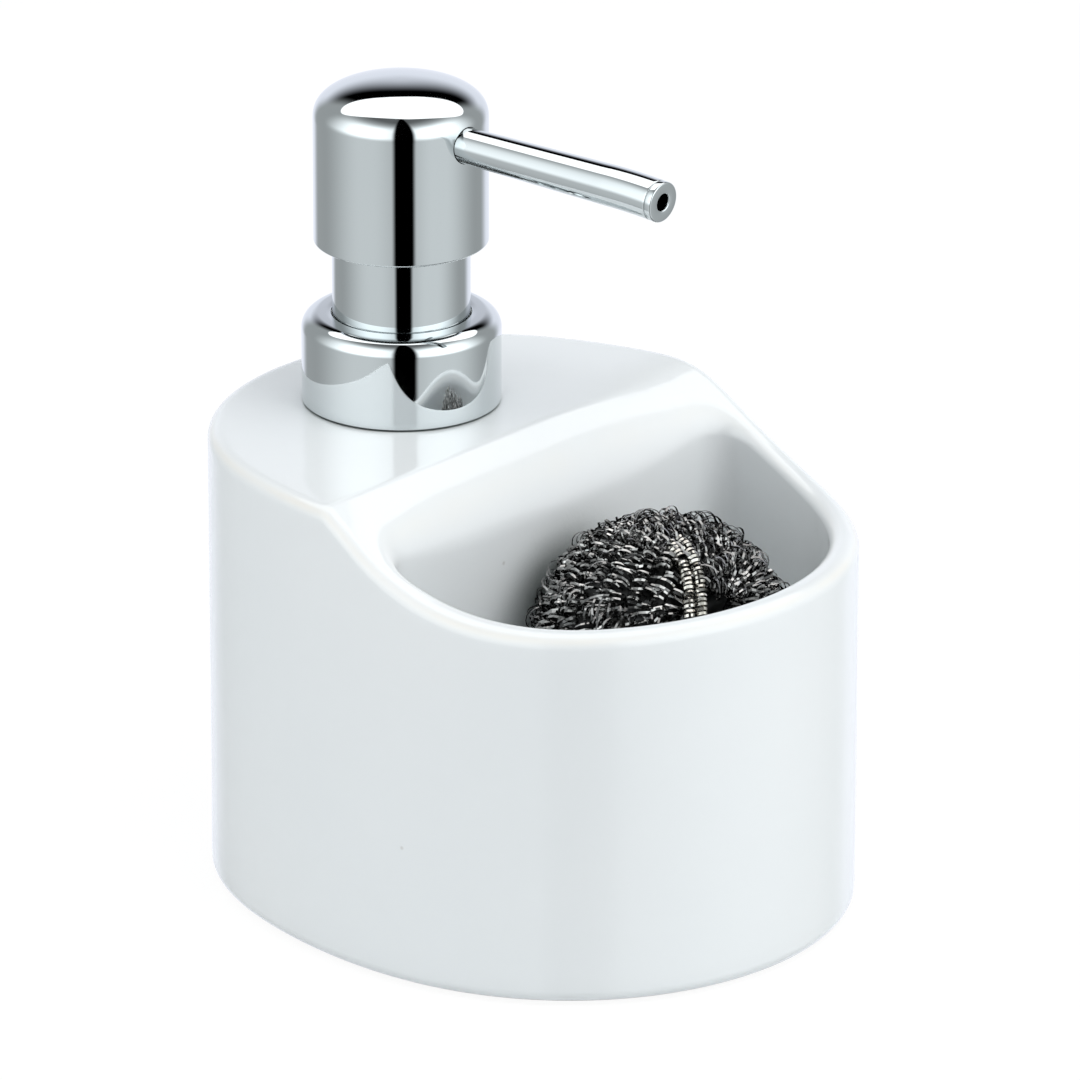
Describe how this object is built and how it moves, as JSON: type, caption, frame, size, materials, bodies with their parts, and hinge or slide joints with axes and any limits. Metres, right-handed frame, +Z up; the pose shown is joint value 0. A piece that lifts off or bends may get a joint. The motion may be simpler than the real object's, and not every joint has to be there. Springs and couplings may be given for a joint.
{
  "type": "detergent dispenser bottle",
  "caption": "Glazed ceramic countertop detergent bottle with a chrome press pump and a scooped front tray that holds a coiled steel scouring pad.",
  "frame": {"origin": "on the standing surface, under the middle of the bounding box", "axes": "+Z up; the spout and the tray face -Y; +X to the right when seen from the front"},
  "size_m": [0.0956, 0.1108, 0.1342],
  "materials": {
    "glaze": "gloss",
    "chrome": "polished",
    "white_plastic": "satin",
    "natural_plastic": "satin",
    "seal_plastic": "matte",
    "tube_plastic": "gloss",
    "gasket_rubber": "matte",
    "clear_rubber": "matte",
    "spring_steel": "polished",
    "steel_wool": "satin"
  },
  "bodies": {
    "bottle": {"ceramic_body": "glaze", "neck_insert": "white_plastic", "foot_pads": "clear_rubber"},
    "pump_unit": {"pump_housing": "natural_plastic", "chaplet": "white_plastic", "guide_sleeve": "chrome", "neck_gasket": "gasket_rubber", "dip_tube": "tube_plastic", "ball_cage": "white_plastic", "return_spring": "spring_steel"},
    "collar": {"collar_shroud": "chrome", "closure_nut": "white_plastic"},
    "plunger": {"piston_rod": "white_plastic"},
    "head": {"pump_stem": "natural_plastic", "head_core": "white_plastic", "head_shell": "chrome", "spout_tube": "chrome", "spout_tip": "chrome"},
    "seal": {"piston_seal": "seal_plastic"},
    "ball": {"inlet_ball": "spring_steel"},
    "pad": {"scourer": "steel_wool"}
  },
  "joints": [
    {"name": "pump_lift", "type": "slide", "parent": "bottle", "child": "pump_unit", "axis": [0, 0, 1], "range_m": [0, 0.00564]},
    {"name": "collar_turn", "type": "hinge", "parent": "pump_unit", "child": "collar", "pos_m": [0, 0.02816, 0.085], "axis": [0, 0, 1], "range_deg": [0, 480]},
    {"name": "head_press", "type": "slide", "parent": "pump_unit", "child": "plunger", "axis": [0, 0, -1], "range_m": [0, 0.0115], "stiffness_N_per_m": 800, "springref_m": -0.0125, "deforming": ["return_spring"]},
    {"name": "head_swivel", "type": "hinge", "parent": "plunger", "child": "head", "pos_m": [0, 0.02816, 0.12], "axis": [0, 0, 1], "continuous": true},
    {"name": "seal_travel", "type": "slide", "parent": "pump_unit", "child": "seal", "axis": [0, 0, -1], "range_m": [0, 0.01056]},
    {"name": "ball_lift", "type": "slide", "parent": "pump_unit", "child": "ball", "axis": [0, 0, 1], "range_m": [0, 0.0015]},
    {"name": "scourer_lift", "type": "slide", "parent": "bottle", "child": "pad", "axis": [0, 0, 1], "range_m": [0, 0.034]}
  ],
  "couplings": [
    {"joint": "collar_turn", "follows": "pump_lift", "rad_per_m": 1484.3},
    {"joint": "seal_travel", "follows": "head_press", "ratio": 0.917}
  ]
}
